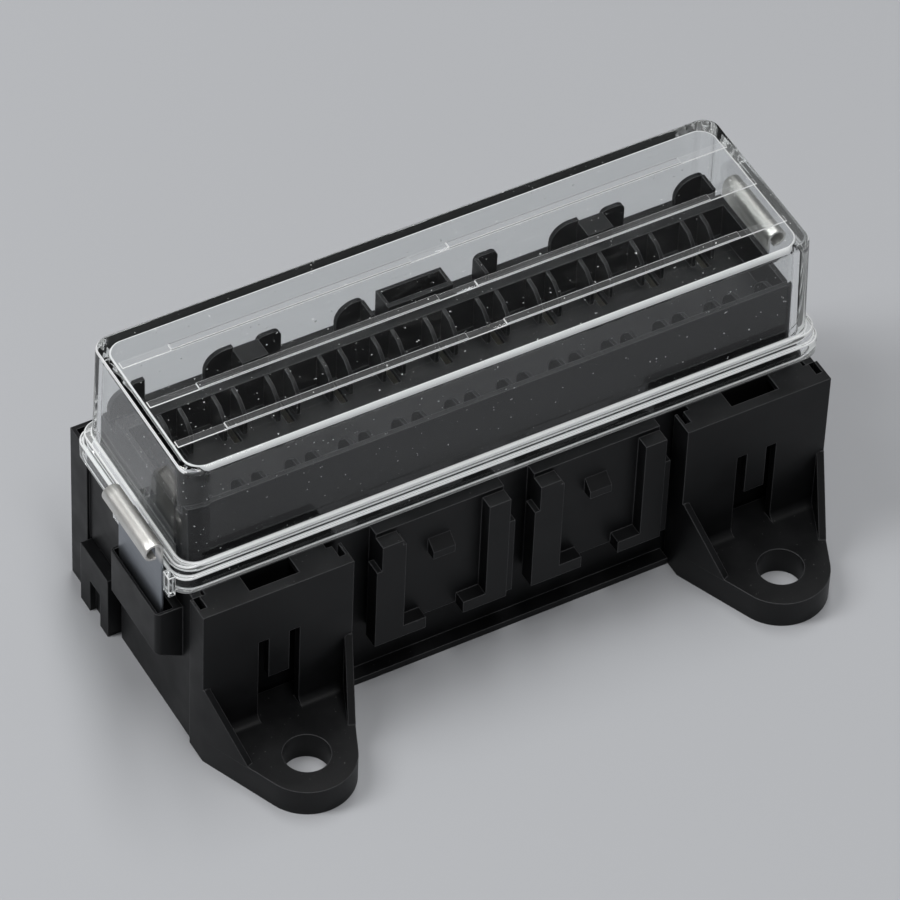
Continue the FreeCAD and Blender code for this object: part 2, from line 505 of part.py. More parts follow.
def add_foot(label, side):
    """Builds one foot and places it over its fixing hole."""
    foot = new_body(label)
    plan = new_sketch(foot, "ear_sketch", "z", "0")
    radius = cell("ear_radius")
    half = cell("foot_half")
    front = cell("foot_front")
    reach = math.hypot(half, front)
    turn = math.atan2(front, half) - math.acos(radius / reach)
    right = Vector(radius * math.cos(turn), radius * math.sin(turn), 0.0)
    left = Vector(-right.x, right.y, 0.0)
    back = cell("foot_back")
    rim = Part.Arc(left, Vector(0.0, -radius, 0.0), right)
    plan.addGeometry([
        rim,
        Part.LineSegment(right, Vector(half, front, 0.0)),
        Part.LineSegment(Vector(half, front, 0.0), Vector(half, back, 0.0)),
        Part.LineSegment(Vector(half, back, 0.0), Vector(-half, back, 0.0)),
        Part.LineSegment(Vector(-half, back, 0.0), Vector(-half, front, 0.0)),
        Part.LineSegment(Vector(-half, front, 0.0), left),
    ], False)
    plan.addConstraint([
        Sketcher.Constraint("Coincident", 0, 3, -1, 1),
        Sketcher.Constraint("Tangent", 0, 2, 1, 1),
        Sketcher.Constraint("Coincident", 1, 2, 2, 1),
        Sketcher.Constraint("Coincident", 2, 2, 3, 1),
        Sketcher.Constraint("Coincident", 3, 2, 4, 1),
        Sketcher.Constraint("Coincident", 4, 2, 5, 1),
        Sketcher.Constraint("Tangent", 5, 2, 0, 1),
    ])
    held = [
        ("Radius", 0, 0, radius, "ear_radius"),
        ("DistanceX", 2, 1, half, "foot_half"),
        ("DistanceY", 2, 1, front, "foot_front"),
        ("DistanceX", 3, 1, half, "foot_half"),
        ("DistanceY", 3, 1, back, "foot_back"),
        ("DistanceX", 4, 1, -half, "-1 * foot_half"),
        ("DistanceY", 4, 1, back, "foot_back"),
        ("DistanceX", 5, 1, -half, "-1 * foot_half"),
        ("DistanceY", 5, 1, front, "foot_front"),
    ]
    for kind, line, end, start, text in held:
        if kind == "Radius":
            number = plan.addConstraint(Sketcher.Constraint(kind, line, start))
        else:
            number = plan.addConstraint(Sketcher.Constraint(kind, -1, 1, line, end, start))
        plan.setExpression(f"Constraints[{number}]", bound(text))
    ear = foot.newObject("PartDesign::Pad", "ear")
    ear.Profile = plan
    ear.setExpression("Length", bound("ear_thick"))
    plan.Visibility = False
    add_prism(foot, "front_box", "y", "foot_front", "foot_back",
              rectangle("-1 * foot_half", "foot_half", "ear_thick - 0.2", "top_ledge"))
    add_prism(foot, "top_shelf", "z", "top_ledge - foot_skin", "top_ledge",
              rectangle("-1 * foot_half + 2.6", "foot_half - 2.6", "foot_back - 0.5", "shelf_back"))
    add_prism(foot, "inside", "y", "foot_front + foot_wall", "foot_back",
              rectangle("foot_skin - foot_half", "foot_half - foot_skin", "ear_thick", "top_ledge - foot_skin"), cut=True)

    # Gussets stand on the ear's slanted edges and fall away from the front plate.
    gusset_sketch = new_sketch(foot, "gusset_sketch", "x", "foot_half")
    gusset_sketch.setExpression("AttachmentOffset.Base.x", bound("foot_front"))
    gusset_sketch.setExpression("AttachmentOffset.Rotation.Axis.x", "0")
    gusset_sketch.setExpression("AttachmentOffset.Rotation.Axis.y", "1")
    gusset_sketch.setExpression("AttachmentOffset.Rotation.Axis.z", "0")
    gusset_sketch.setExpression("AttachmentOffset.Rotation.Angle", bound("-1 * gusset_angle"))
    add_outline(gusset_sketch, [("0", "ear_thick - 0.2"), ("0", "gusset_top"), ("-0.3", "gusset_top"),
                                ("-1 * gusset_reach", "ear_thick + 0.2"), ("-1 * gusset_reach", "ear_thick - 0.2")])
    gusset = foot.newObject("PartDesign::Pad", "gusset")
    gusset.Profile = gusset_sketch
    gusset.setExpression("Length", bound("gusset_thick"))
    gusset.Reversed = True
    gusset_sketch.Visibility = False
    doc.recompute()
    add_mirror(foot, "gussets", [gusset])

    # Snap tongue between two slots that open into a window, and the hatch in the top.
    middle = "slot_middle"
    low = "ear_thick"
    window = [
        (f"{middle} - slot_outer", low), (f"{middle} + slot_outer", low),
        (f"{middle} + slot_outer", "slot_top"), (f"{middle} + slot_inner", "slot_top"),
        (f"{middle} + slot_inner", "window_top"), (f"{middle} - slot_inner", "window_top"),
        (f"{middle} - slot_inner", "slot_top"), (f"{middle} - slot_outer", "slot_top"),
    ]
    add_prism(foot, "tongue_slots", "y", "foot_front - 1", "foot_front + foot_wall", window, cut=True)
    add_prism(foot, "hatch", "z", "top_ledge - foot_skin - 0.5", "top_ledge",
              rectangle("-1 * hatch_low", "hatch_high", "hatch_front", "shelf_back + 1"), cut=True)
    niches = [
        rectangle("0.5 - foot_half", "0.5 + niche_wide - foot_half", "foot_front + 1.9", "foot_back"),
        rectangle("foot_half - 0.5 - niche_wide", "foot_half - 0.5", "foot_front + 1.9", "foot_back"),
    ]
    add_prism(foot, "niches", "z", "top_ledge - niche_deep", "top_ledge", *niches, cut=True)
    hole = new_sketch(foot, "hole_sketch", "z", "ear_thick")
    hole.addGeometry(Part.Circle(Vector(0.0, 0.0, 0.0), Vector(0.0, 0.0, 1.0), 3.0), False)
    hole.addConstraint(Sketcher.Constraint("Coincident", 0, 3, -1, 1))
    ring = hole.addConstraint(Sketcher.Constraint("Radius", 0, 3.0))
    hole.setExpression(f"Constraints[{ring}]", bound("hole_radius"))
    bore = foot.newObject("PartDesign::Pocket", "fixing_hole")
    bore.Profile = hole
    bore.setExpression("Length", bound("ear_thick"))
    hole.Visibility = False
    doc.recompute()
    front = cell("foot_front")
    thick = cell("ear_thick")

    def ledge(a, b):
        level = abs(a.z - thick) < 0.01 and abs(b.z - thick) < 0.01
        return level and abs(a.y - front) < 0.01 and abs(b.y - front) < 0.01 and abs(a.x - b.x) > 1.0

    add_fillet(foot, "ledges", bore, "ledge_radius", ledge)
    foot.setExpression("Placement.Base.x", bound(f"{side} * half_pitch"))
    return foot


add_foot("foot_left", "-1")
add_foot("foot_right", "1")

# Clear cover: a drafted shell on a two-tier flange, with fins beside each clip and beads on top.

cover = new_body("cover")
flange = add_prism(cover, "flange", "z", "cover_base", "flange_tier",
                   rectangle("-1 * flange_half", "flange_half", "flange_front", "flange_back"))
tier = add_prism(cover, "tier", "z", "flange_tier - 0.1", "flange_top",
                 rectangle("tier_step - flange_half", "flange_half - tier_step",
                           "flange_front + tier_step + 0.3", "flange_back - tier_step"))
shell = add_prism(cover, "shell", "z", "flange_top - 0.1", "cover_top",
                  rectangle("-1 * shell_half", "shell_half", "shell_front", "shell_back"))
shell.setExpression("TaperAngle", bound("-1 * cover_draft"))
doc.recompute()


def corner(first, second):
    """Tells whether an edge is an upright or slanting corner of the shell or the flange."""
    return abs(first.z - second.z) > 1.0


rounded = add_fillet(cover, "corners", shell, "flange_round", corner)
crown = cell("cover_top")
names = []
for number, edge in enumerate(rounded.Shape.Edges, start=1):
    box = edge.BoundBox
    if box.ZMin > crown - 0.01:
        names.append(f"Edge{number}")
top_edge = cover.newObject("PartDesign::Fillet", "top_edge")
top_edge.Base = (rounded, names)
top_edge.setExpression("Radius", bound("cover_edge"))
doc.recompute()
add_prism(cover, "flange_hollow", "z", "cover_base", "flange_top - cover_wall",
          rectangle("cover_wall - flange_half", "flange_half - cover_wall",
                    "flange_front + cover_wall", "flange_back - cover_wall"), cut=True)
room = new_sketch(cover, "shell_hollow_sketch", "z", "flange_top - cover_wall - 0.1")
add_outline(room, rectangle("cover_wall - shell_half", "shell_half - cover_wall",
                            "shell_front + cover_wall", "shell_back - cover_wall"))
hollow = cover.newObject("PartDesign::Pocket", "shell_hollow")
hollow.Profile = room
hollow.Reversed = True
hollow.setExpression("Length", bound("cover_top - flange_top + 0.1"))
hollow.setExpression("TaperAngle", bound("-1 * cover_draft"))
room.Visibility = False
doc.recompute()
inner_end = cell("flange_half") - cell("cover_wall") + 0.01
inner_front = cell("flange_front") + cell("cover_wall") - 0.01
inner_back = cell("flange_back") - cell("cover_wall") + 0.01
ceiling = cell("cover_top") - cell("cover_wall") + 0.01


def inner_corner(first, second):
    """Tells whether an edge is a corner inside the cover."""
    within = abs(first.x) < inner_end and inner_front < first.y < inner_back
    return within and abs(first.z - second.z) > 1.0 and max(first.z, second.z) < ceiling


add_fillet(cover, "inner_corners", hollow, "flange_round - cover_wall", inner_corner)
for name, sign, middle in (("left", "-1", "clip_middle"), ("right", "1", "2 * cover_middle - clip_middle")):
    plans = []
    for turn in ("-1", "1"):
        near = f"{middle} + {turn} * fin_gap / 2"
        far = f"{middle} + {turn} * (fin_gap / 2 + fin_thick)"
        plans.append(rectangle(f"{sign} * (flange_half - 0.6)", f"{sign} * fin_face", near, far))
    add_prism(cover, f"fins_{name}", "z", "cover_base", "fin_top", *plans)
bead = add_prism(cover, "bead", "z", "cover_top - 0.2", "cover_top + bead_high",
                 rectangle("-1 * bead_half", "bead_half", "cover_middle - bead_pitch - bead_wide / 2",
                           "cover_middle - bead_pitch + bead_wide / 2"))
add_row(cover, "beads", [bead], "bead_pitch", 3, "Y_Axis")

# Spring clip: a leaf in the pocket, a catch over the flange and a rolled top. Drawn for the right end.


def add_clip(label, side, middle):
    """Builds one clip; the left one is the right one turned half round."""
    clip = new_body(label)
    leaf = add_prism(clip, "leaf", "y", "-1 * clip_half", "clip_half", [
        ("leaf_inner", "leaf_low"),
        ("leaf_outer", "leaf_low"),
        ("leaf_outer", "catch_low - 0.1"),
        ("catch_tip + 0.55", "catch_nose"),
        ("leaf_outer", "2 * catch_nose - catch_low + 0.1"),
        ("leaf_outer", "roll_height"),
        ("leaf_inner", "roll_height"),
        ("leaf_inner", "2 * catch_nose - catch_low"),
        ("catch_tip", "catch_nose + 0.1"),
        ("catch_tip", "catch_nose - 0.1"),
        ("leaf_inner", "catch_low"),
    ])
    roll = new_sketch(clip, "roll_sketch", "y", "clip_half")
    centre = Vector(cell("roll_middle"), cell("roll_height"), 0.0)
    outer = cell("roll_outer")
    inner = cell("roll_inner")
    start = math.radians(-110.0)
    stop = math.radians(180.0)

    def spot(radius, turn):
        return Vector(centre.x + radius * math.cos(turn), centre.y + radius * math.sin(turn), 0.0)

    circle_out = Part.Circle(centre, Vector(0.0, 0.0, 1.0), outer)
    circle_in = Part.Circle(centre, Vector(0.0, 0.0, 1.0), inner)
    roll.addGeometry([
        Part.ArcOfCircle(circle_out, start, stop),
        Part.LineSegment(spot(outer, stop), spot(inner, stop)),
        Part.ArcOfCircle(circle_in, start, stop),
        Part.LineSegment(spot(inner, start), spot(outer, start)),
    ], False)
    roll.addConstraint([
        Sketcher.Constraint("Coincident", 0, 2, 1, 1),
        Sketcher.Constraint("Coincident", 1, 2, 2, 2),
        Sketcher.Constraint("Coincident", 2, 1, 3, 1),
        Sketcher.Constraint("Coincident", 3, 2, 0, 1),
        Sketcher.Constraint("Coincident", 0, 3, 2, 3),
        Sketcher.Constraint("Horizontal", 1),
    ])
    held = [
        (Sketcher.Constraint("Radius", 0, outer), "roll_outer"),
        (Sketcher.Constraint("Radius", 2, inner), "roll_inner"),
        (Sketcher.Constraint("DistanceX", -1, 1, 0, 3, centre.x), "roll_middle"),
        (Sketcher.Constraint("DistanceY", -1, 1, 0, 3, centre.y), "roll_height"),
        (Sketcher.Constraint("DistanceX", 3, 1, 0, 3, centre.x - spot(inner, start).x), "0.34 * roll_inner"),
        (Sketcher.Constraint("DistanceX", 3, 2, 0, 3, centre.x - spot(outer, start).x), "0.34 * roll_outer"),
    ]
    for rule, text in held:
        number = roll.addConstraint(rule)
        roll.setExpression(f"Constraints[{number}]", bound(text))
    curl = clip.newObject("PartDesign::Pad", "roll")
    curl.Profile = roll
    curl.setExpression("Length", bound("2 * clip_half"))
    roll.Visibility = False
    if side == "-1":
        clip.Placement = Placement(Vector(0.0, 0.0, 0.0), Rotation(Vector(0.0, 0.0, 1.0), 180.0))
    clip.setExpression("Placement.Base.y", bound(middle))
    return clip


add_clip("clip_left", "-1", "clip_middle")
add_clip("clip_right", "1", "2 * cover_middle - clip_middle")


# Contacts: two spring leaves on a bridge, a neck and an open crimp, one pair to each fuse.

def add_contact(label, number, side):
    """Builds one contact and places it in its passage."""
    contact = new_body(label)
    bend = "contact_base + 0.32 * (contact_mouth - contact_base)"
    pinch = "contact_base + 0.77 * (contact_mouth - contact_base)"
    right = [
        ("contact_spread", "contact_base"),
        ("contact_spread", bend),
        ("contact_grip + contact_sheet", pinch),
        ("contact_spread - 0.12", "contact_mouth"),
        ("contact_spread - contact_sheet - 0.12", "contact_mouth"),
        ("contact_grip", pinch),
        ("contact_spread - contact_sheet", bend),
        ("contact_spread - contact_sheet", "contact_base + contact_sheet"),
    ]
    left = [(f"-1 * ({across})", up) for across, up in reversed(right)]
    add_prism(contact, "leaves", "y", "-1 * contact_half", "contact_half", right + left)
    add_prism(contact, "neck", "z", "neck_low", "contact_base + 0.2", rectangle("-0.2", "0.2", "-1.4", "1.4"))
    channel = [("-1.2", "-1.3"), ("1.2", "-1.3"), ("1.2", "-0.9"), ("-0.8", "-0.9"),
               ("-0.8", "0.9"), ("1.2", "0.9"), ("1.2", "1.3"), ("-1.2", "1.3")]
    add_prism(contact, "crimp", "z", "crimp_low", "neck_low", channel)
    add_prism(contact, "shoulder", "z", "neck_low - 0.4", "neck_low", rectangle("-1.2", "0.2", "-1.3", "1.3"))
    contact.setExpression("Placement.Base.x", bound(f"{number} * fuse_pitch - fuse_span"))
    contact.setExpression("Placement.Base.y", bound(f"cell_middle + {side} * blade_half"))
    return contact


for place in range(11):
    add_contact(f"contact_front_{place + 1:02d}", place, "-1")
    add_contact(f"contact_rear_{place + 1:02d}", place, "1")

doc.recompute()

for item in doc.Objects:
    if "Invalid" in item.State or "Error" in item.State:
        raise RuntimeError(f"{item.Label} did not recompute: {item.State}")
for node in NODES:
    if node.Shape.isNull() or not node.Shape.isValid():
        raise RuntimeError(f"{node.Label} has no valid shape")

os.makedirs("parts", exist_ok=True)
for node in NODES:
    node.Shape.exportStep(os.path.join("parts", node.Label + ".step"))
print(f"{len(NODES)} pieces written")
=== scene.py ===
import bmesh
import bpy
import math
from mathutils import Matrix, Vector


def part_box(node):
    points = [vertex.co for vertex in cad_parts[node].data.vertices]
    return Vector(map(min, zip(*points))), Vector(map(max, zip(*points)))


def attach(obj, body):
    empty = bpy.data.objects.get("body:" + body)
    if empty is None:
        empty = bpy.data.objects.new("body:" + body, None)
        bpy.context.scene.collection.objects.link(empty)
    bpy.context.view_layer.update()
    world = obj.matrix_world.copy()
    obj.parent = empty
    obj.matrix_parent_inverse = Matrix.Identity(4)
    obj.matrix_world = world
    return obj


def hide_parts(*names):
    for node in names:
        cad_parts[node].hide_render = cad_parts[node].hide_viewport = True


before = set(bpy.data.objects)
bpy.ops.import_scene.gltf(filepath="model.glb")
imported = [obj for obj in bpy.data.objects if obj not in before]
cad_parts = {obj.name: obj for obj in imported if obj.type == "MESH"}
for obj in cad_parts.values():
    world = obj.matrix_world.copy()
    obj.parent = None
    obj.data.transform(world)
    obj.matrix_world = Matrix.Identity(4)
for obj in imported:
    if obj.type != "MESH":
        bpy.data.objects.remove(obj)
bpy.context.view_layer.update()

bl_info = {
    "name": "Blade fuse block",
    "version": (1, 0, 0),
    "blender": (4, 5, 0),
    "location": "3D View > Sidebar > Fuse block",
    "description": "Builds a blade fuse block with its clear cover, feet, clips and contacts",
    "category": "Add Mesh",
}

MM = 0.001
SIDES = {"left": -1.0, "right": 1.0}

# Heights of the cover, worked out from its solid

COVER_LOW, COVER_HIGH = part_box("cover")
BEAD_RISE = 0.12 * MM
BEAD_SECOND_RISE = 0.23 * MM
RIM_FOOT = COVER_LOW.z
TIER_TOP = RIM_FOOT + 3.3 * MM
SHELF = RIM_FOOT + 5.2 * MM
COVER_TOP = COVER_HIGH.z - BEAD_RISE - BEAD_SECOND_RISE

# Plan of the cover's walls and beads, and how far the walls lean in over their height

WALL_HALF = 55.9 * MM
WALL_FRONT = 16.4 * MM
WALL_BACK = 50.1 * MM
COVER_MIDDLE = (WALL_FRONT + WALL_BACK) / 2
DRAFT = math.tan(math.radians(1.4)) * (COVER_TOP - SHELF)
BEAD_MIDDLE = 33.0 * MM
BEAD_SPACING = 9.3 * MM
BEAD_LINES = (BEAD_MIDDLE - BEAD_SPACING, BEAD_MIDDLE, BEAD_MIDDLE + BEAD_SPACING)
BEAD_HALF = 0.65 * MM
BEAD_END = 53.6 * MM
HIGH_BEAD_START = 3.4 * MM
HIGH_BEAD_END = 45.2 * MM

# Fins beside the clips: how far they lie from the clip's middle, then their own places

FIN_NEAR = 7.5 * MM
FIN_FAR = 9.5 * MM
FIN_TOP = RIM_FOOT + 4.2 * MM
FIN_INNER = 57.5 * MM
FIN_OUTER = COVER_HIGH.x

# Spring clips: how far out the middle of the sheet lies, and how high up

LEAF = 58.675 * MM
CATCH_TIP = 57.2 * MM
CATCH_LOW = 38.0 * MM
CATCH_HEIGHT = 39.35 * MM
CATCH_HIGH = 40.7 * MM
CATCH_HALF = 5.0 * MM
CATCH_SLOPE = 0.3 * MM
ROLL_CENTRE = (60.1 * MM, 0.0, 41.9 * MM)

# Places this near to each other count as one, and a face whose normal rises this much counts as level.

NEAR = 0.1 * MM
LEVEL = 0.99

# Places of the cover's finishes in its list of materials

# Every finish but the first is paler: a painted highlight on edges and flange, and a painted sheen.
CLEAR, EDGE, FLANGE, PAINTED_SHEEN = range(4)


# Sizes and colours

class MouldedSizes(bpy.types.PropertyGroup):
    """Edges and finish of the black moulded pieces."""
    edge: bpy.props.FloatProperty(name="Edge rounding", description="Rounding of the moulded edges",
                                  default=0.00026, min=0.0, unit="LENGTH")
    colour: bpy.props.FloatVectorProperty(name="Plastic colour", description="Colour of the black plastic",
                                          default=(0.0048, 0.0050, 0.0055), subtype="COLOR", min=0.0, max=1.0)
    grain: bpy.props.FloatProperty(name="Grain depth", description="Depth of the plastic's fine grain",
                                   default=0.00003, min=0.0, unit="LENGTH")
    dust: bpy.props.FloatProperty(name="Dust", description="Share of dust on surfaces that face up",
                                  default=0.5, min=0.0, max=1.0, subtype="FACTOR")


class CoverSizes(bpy.types.PropertyGroup):
    """Shape and finish of the clear cover."""
    wall: bpy.props.FloatProperty(name="Wall", description="Thickness of the cover's walls",
                                  default=0.0016, min=0.0002, unit="LENGTH")
    corner: bpy.props.FloatProperty(name="Upright corners", description="Outer radius of the upright corners",
                                    default=0.003, min=0.0005, unit="LENGTH")
    crown: bpy.props.FloatProperty(name="Top edge", description="Rounding around the top",
                                   default=0.001, min=0.0, unit="LENGTH")
    # The edges' light that is not let through is a white painted highlight.
    edges: bpy.props.FloatProperty(name="Clearness of edges",
                                   description="Share of light that the edges let through",
                                   default=0.12, min=0.0, max=1.0, subtype="FACTOR")
    colour: bpy.props.FloatVectorProperty(name="Clear colour", description="Tint of the clear plastic",
                                          default=(0.975, 0.985, 0.985), subtype="COLOR", min=0.0, max=1.0)


class MetalSizes(bpy.types.PropertyGroup):
    """Shape and finish of the spring clips and the contacts."""
    sheet: bpy.props.FloatProperty(name="Clip sheet", description="Thickness of the clips' spring steel",
                                   default=0.00045, min=0.0001, unit="LENGTH")
    steel: bpy.props.FloatVectorProperty(name="Steel colour", description="Colour of the clips",
                                         default=(0.80, 0.79, 0.76), subtype="COLOR", min=0.0, max=1.0)
    tinned: bpy.props.FloatVectorProperty(name="Contact colour", description="Colour of the contacts",
                                          default=(0.70, 0.68, 0.62), subtype="COLOR", min=0.0, max=1.0)


class StageSizes(bpy.types.PropertyGroup):
    """Floor and lamps."""
    floor: bpy.props.FloatVectorProperty(name="Floor colour", description="Colour of the plain floor",
                                         default=(0.50, 0.51, 0.53), subtype="COLOR", min=0.0, max=1.0)
    key: bpy.props.FloatProperty(name="Main lamp", description="Power of the long lamp above",
                                 default=8.0, min=0.0, unit="POWER")
    fill: bpy.props.FloatProperty(name="Side lamp", description="Power of the lamp on the left",
                                  default=4.6, min=0.0, unit="POWER")


# Meshes

def pick(made, kind):
    """Gives the vertices, the edges or the faces among the elements that an operator made."""
    return [item for item in made if isinstance(item, kind)]


def add_block(bm, low, high):
    """Adds a box between two corners and gives its vertices."""
    made = bmesh.ops.create_cube(bm, size=1.0)["verts"]
    low, high = Vector(low), Vector(high)
    bmesh.ops.scale(bm, vec=high - low, verts=made)
    bmesh.ops.translate(bm, vec=(low + high) / 2, verts=made)
    return made


def round_edges(bm, edges, offset, segments):
    """Rounds edges and gives the new faces."""
    made = bmesh.ops.bevel(bm, geom=list(edges), offset=offset, segments=segments, profile=0.5, material=-1,
                           affect="EDGES", clamp_overlap=True)
    return made["faces"]


def merged_copy(node):
    """Gives a copy of a solid's mesh with its triangles joined into whole faces."""
    weld = 0.004 * MM
    flat = math.radians(0.6)
    bm = bmesh.new()
    bm.from_mesh(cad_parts[node].data)
    bmesh.ops.remove_doubles(bm, verts=bm.verts, dist=weld)
    bmesh.ops.dissolve_limit(bm, angle_limit=flat, verts=bm.verts, edges=bm.edges)
    bmesh.ops.recalc_face_normals(bm, faces=bm.faces)
    return bm


def keep_piece(name, bm, body, finishes, nodes=(), sharp=35.0):
    """Makes an object of the mesh, on the body that carries it, with edges sharp from an angle in degrees."""
    mesh = bpy.data.meshes.new(name)
    bm.to_mesh(mesh)
    bm.free()
    # Normals kept from a solid would hide the smooth shading.
    if "custom_normal" in mesh.attributes:
        mesh.attributes.remove(mesh.attributes["custom_normal"])
    for finish in finishes:
        mesh.materials.append(finish)
    if sharp:
        mesh.shade_smooth()
        mesh.set_sharp_from_angle(angle=math.radians(sharp))
    piece = bpy.data.objects.new(name, mesh)
    bpy.context.scene.collection.objects.link(piece)
    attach(piece, body)
    if nodes:
        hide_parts(*nodes)
    return piece


# Materials

def new_material(name):
    """Starts a material and gives its nodes, its links and its shader."""
    material = bpy.data.materials.new(name)
    material.use_nodes = True
    tree = material.node_tree
    return material, tree.nodes, tree.links, tree.nodes["Principled BSDF"]


def add_noise(nodes, links, scale, detail=3.0, stretch=None):
    """Adds noise on the piece's own coordinates. Its scale is about the number of patches per metre."""
    place = nodes.new("ShaderNodeTexCoord")
    source = place.outputs["Object"]
    if stretch:
        mapping = nodes.new("ShaderNodeMapping")
        mapping.inputs["Scale"].default_value = stretch
        links.new(source, mapping.inputs["Vector"])
        source = mapping.outputs["Vector"]
    noise = nodes.new("ShaderNodeTexNoise")
    noise.inputs["Scale"].default_value = scale
    noise.inputs["Detail"].default_value = detail
    links.new(source, noise.inputs["Vector"])
    return noise.outputs["Fac"]


def add_range(nodes, links, source, old, new):
    """Maps one range of numbers onto another, each given as its two ends."""
    change = nodes.new("ShaderNodeMapRange")
    change.inputs["From Min"].default_value = old[0]
    change.inputs["From Max"].default_value = old[1]
    change.inputs["To Min"].default_value = new[0]
    change.inputs["To Max"].default_value = new[1]
    links.new(source, change.inputs["Value"])
    return change.outputs["Result"]


def add_step(nodes, links, operation, first, second):
    """Works out one value from two."""
    step = nodes.new("ShaderNodeMath")
    step.operation = operation
    links.new(first, step.inputs[0])
    links.new(second, step.inputs[1])
    return step.outputs[0]


def add_mix(nodes, links, share, first, second):
    """Mixes two colours, each a socket or a plain colour."""
    mix = nodes.new("ShaderNodeMix")
    mix.data_type = "RGBA"
    links.new(share, mix.inputs[0])
    for socket, colour in ((mix.inputs[6], first), (mix.inputs[7], second)):
        if isinstance(colour, bpy.types.NodeSocket):
            links.new(colour, socket)
        else:
            socket.default_value = (*colour, 1.0)
    return mix.outputs[2]


def add_bump(nodes, links, height, strength, depth):
    """Adds relief and gives its node."""
    bump = nodes.new("ShaderNodeBump")
    bump.inputs["Strength"].default_value = strength
    bump.inputs["Distance"].default_value = depth
    links.new(height, bump.inputs["Height"])
    return bump


def black_plastic():
    """Black moulded plastic: cloudy, with dust on top, a painted highlight on its edges and a fine grain."""
    name = "black moulded plastic"
    ready = bpy.data.materials.get(name)
    if ready:
        return ready
    sizes = bpy.context.scene.fuse_moulded
    material, nodes, links, shader = new_material(name)
    shader.inputs["Specular IOR Level"].default_value = 0.2
    geometry = nodes.new("ShaderNodeNewGeometry")

    # Clouds, paler and rougher by patches.
    black = tuple(sizes.colour)
    pale_black = tuple(1.7 * part + 0.002 for part in black)
    clouds = add_noise(nodes, links, scale=160.0, detail=4.0)
    cloud_share = add_range(nodes, links, clouds, (0.35, 0.7), (0.0, 0.7))
    tone = add_mix(nodes, links, cloud_share, black, pale_black)
    roughness = add_range(nodes, links, clouds, (0.3, 0.7), (0.38, 0.52))
    links.new(roughness, shader.inputs["Roughness"])

    # Specks of dust on surfaces that face up.
    dust_grey = (0.30, 0.30, 0.29)
    specks = add_noise(nodes, links, scale=2600.0, detail=2.0)
    speck_share = add_range(nodes, links, specks, (0.735, 0.80), (0.0, 1.0))
    split = nodes.new("ShaderNodeSeparateXYZ")
    links.new(geometry.outputs["Normal"], split.inputs["Vector"])
    facing_up = add_range(nodes, links, split.outputs["Z"], (0.3, 0.9), (0.0, sizes.dust))
    dust = add_step(nodes, links, "MULTIPLY", speck_share, facing_up)
    tone = add_mix(nodes, links, dust, tone, dust_grey)

    # Edges rounded in their shading, with a painted highlight, paler where the rounding turns from the face.
    edge_highlight_grey = (0.12, 0.12, 0.125)
    soft = nodes.new("ShaderNodeBevel")
    soft.samples = 6
    soft.inputs["Radius"].default_value = sizes.edge
    meet = nodes.new("ShaderNodeVectorMath")
    meet.operation = "DOT_PRODUCT"
    links.new(soft.outputs["Normal"], meet.inputs[0])
    links.new(geometry.outputs["Normal"], meet.inputs[1])
    edge_highlight = add_range(nodes, links, meet.outputs["Value"], (0.86, 0.985), (0.75, 0.0))
    tone = add_mix(nodes, links, edge_highlight, tone, edge_highlight_grey)
    links.new(tone, shader.inputs["Base Color"])

    # Fine grain over the whole surface.
    grain = add_noise(nodes, links, scale=3200.0)
    bump = add_bump(nodes, links, grain, strength=0.08, depth=sizes.grain)
    links.new(soft.outputs["Normal"], bump.inputs["Normal"])
    links.new(bump.outputs["Normal"], shader.inputs["Normal"])
    return material


def clear_plastic(name, clearness, shine):
    """Clear plastic with faint scuffs and specks of dust. The less clearness it has, the paler it is."""
    ready = bpy.data.materials.get(name)
    if ready:
        return ready
    sizes = bpy.context.scene.fuse_cover
    material, nodes, links, shader = new_material(name)
    shader.inputs["Base Color"].default_value = (*sizes.colour, 1.0)
    shader.inputs["IOR"].default_value = 1.5
    shader.inputs["Specular Tint"].default_value = (shine, shine, shine, 1.0)

    # Specks of dust, which let less light through.
    specks = add_noise(nodes, links, scale=1500.0, detail=2.0)
    share = add_range(nodes, links, specks, (0.735, 0.765), (clearness, 0.3 * clearness))
    links.new(share, shader.inputs["Transmission Weight"])

    # Scuffs, four times as long along the cover as across it.
    scuffs = add_noise(nodes, links, scale=900.0, stretch=(0.25, 1.0, 1.0))
    roughness = add_range(nodes, links, scuffs, (0.45, 0.80), (0.012, 0.06))
    links.new(roughness, shader.inputs["Roughness"])

    # Shadow rays and diffuse rays pass straight through, so that lamps light what is under the cover.
    clear = nodes.new("ShaderNodeBsdfTransparent")
    clear.inputs["Color"].default_value = (0.93, 0.94, 0.94, 1.0)
    path = nodes.new("ShaderNodeLightPath")
    shadow, diffuse = path.outputs["Is Shadow Ray"], path.outputs["Is Diffuse Ray"]
    straight = add_step(nodes, links, "MAXIMUM", shadow, diffuse)
    mix = nodes.new("ShaderNodeMixShader")
    links.new(straight, mix.inputs["Fac"])
    links.new(shader.outputs["BSDF"], mix.inputs[1])
    links.new(clear.outputs["BSDF"], mix.inputs[2])
    links.new(mix.outputs["Shader"], nodes["Material Output"].inputs["Surface"])
    return material


